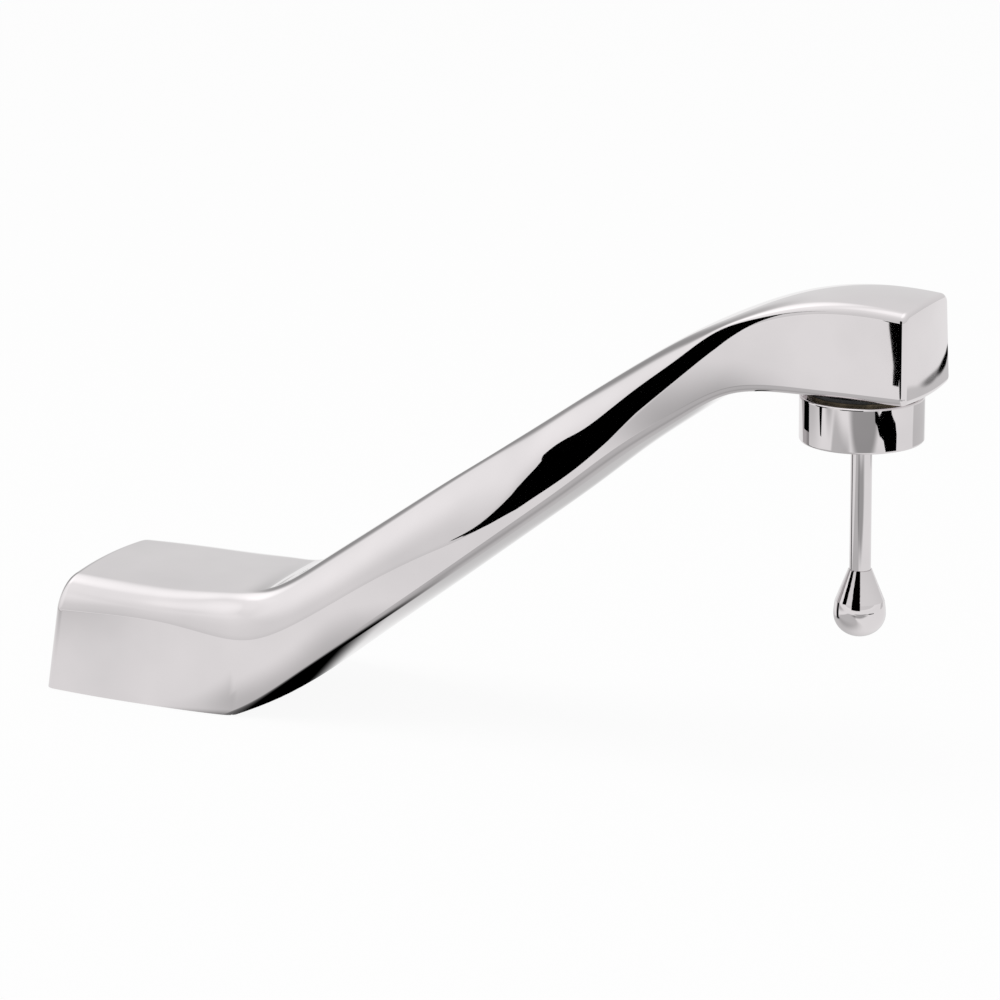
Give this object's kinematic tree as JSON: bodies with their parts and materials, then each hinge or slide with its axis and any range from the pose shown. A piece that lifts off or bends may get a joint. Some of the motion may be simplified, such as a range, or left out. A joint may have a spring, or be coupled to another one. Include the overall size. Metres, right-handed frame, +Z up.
{
  "type": "self-closing basin tap",
  "caption": "Deck-mounted basin tap with a block base, a long rising spout arm and a squared head; a hanging rod with a teardrop knob opens a self-closing valve.",
  "frame": {"origin": "centre of the shank at the deck's top face, where the tap is clamped", "axes": "+Z up out of the deck, +X from the base to the outlet, +Y to the left seen from behind the base"},
  "size_m": [0.2129, 0.055, 0.1585],
  "materials": {
    "chrome_cast": "polished",
    "chrome_turned": "polished",
    "black_rubber": "matte",
    "brass_raw": "machined",
    "white_plastic": "matte",
    "grey_plastic": "matte",
    "zinc_steel": "zinc plated",
    "spring_steel": "drawn"
  },
  "bodies": {
    "tap": {"spout_body": "chrome_cast", "base_gasket": "black_rubber", "shank": "brass_raw", "shank_seal": "black_rubber", "inlet_screen": "white_plastic", "deck_rubber_washer": "black_rubber", "deck_metal_washer": "zinc_steel", "locknut": "brass_raw", "outlet_collar": "chrome_turned", "outlet_disc": "grey_plastic", "disc_washer": "black_rubber", "valve_body": "brass_raw", "body_seal": "black_rubber", "return_spring": "spring_steel", "spring_retainer": "brass_raw", "strainer": "spring_steel"},
    "ball_socket": {"ball_ring": "white_plastic"},
    "rod": {"push_rod": "chrome_turned", "rocker_plate": "brass_raw", "knob": "chrome_turned"},
    "poppet": {"poppet_stem": "brass_raw", "valve_washer": "black_rubber", "washer_cup": "brass_raw", "stem_nut": "brass_raw"}
  },
  "joints": [
    {"name": "rod_swing", "type": "hinge", "parent": "tap", "child": "ball_socket", "pos_m": [0.17, 0, 0.0806], "axis": [0, 0, 1], "continuous": true},
    {"name": "rod_tilt", "type": "hinge", "parent": "ball_socket", "child": "rod", "pos_m": [0.17, 0, 0.0806], "axis": [0, 1, 0], "range_deg": [0, 12], "stiffness_Nm_per_rad": 0.25, "springref_deg": -11.46},
    {"name": "valve_lift", "type": "slide", "parent": "tap", "child": "poppet", "axis": [0, 0, 1], "range_m": [0, 0.0013], "deforming": ["return_spring"]}
  ],
  "couplings": [
    {"joint": "valve_lift", "follows": "rod_tilt", "m_per_rad": 0.006}
  ]
}
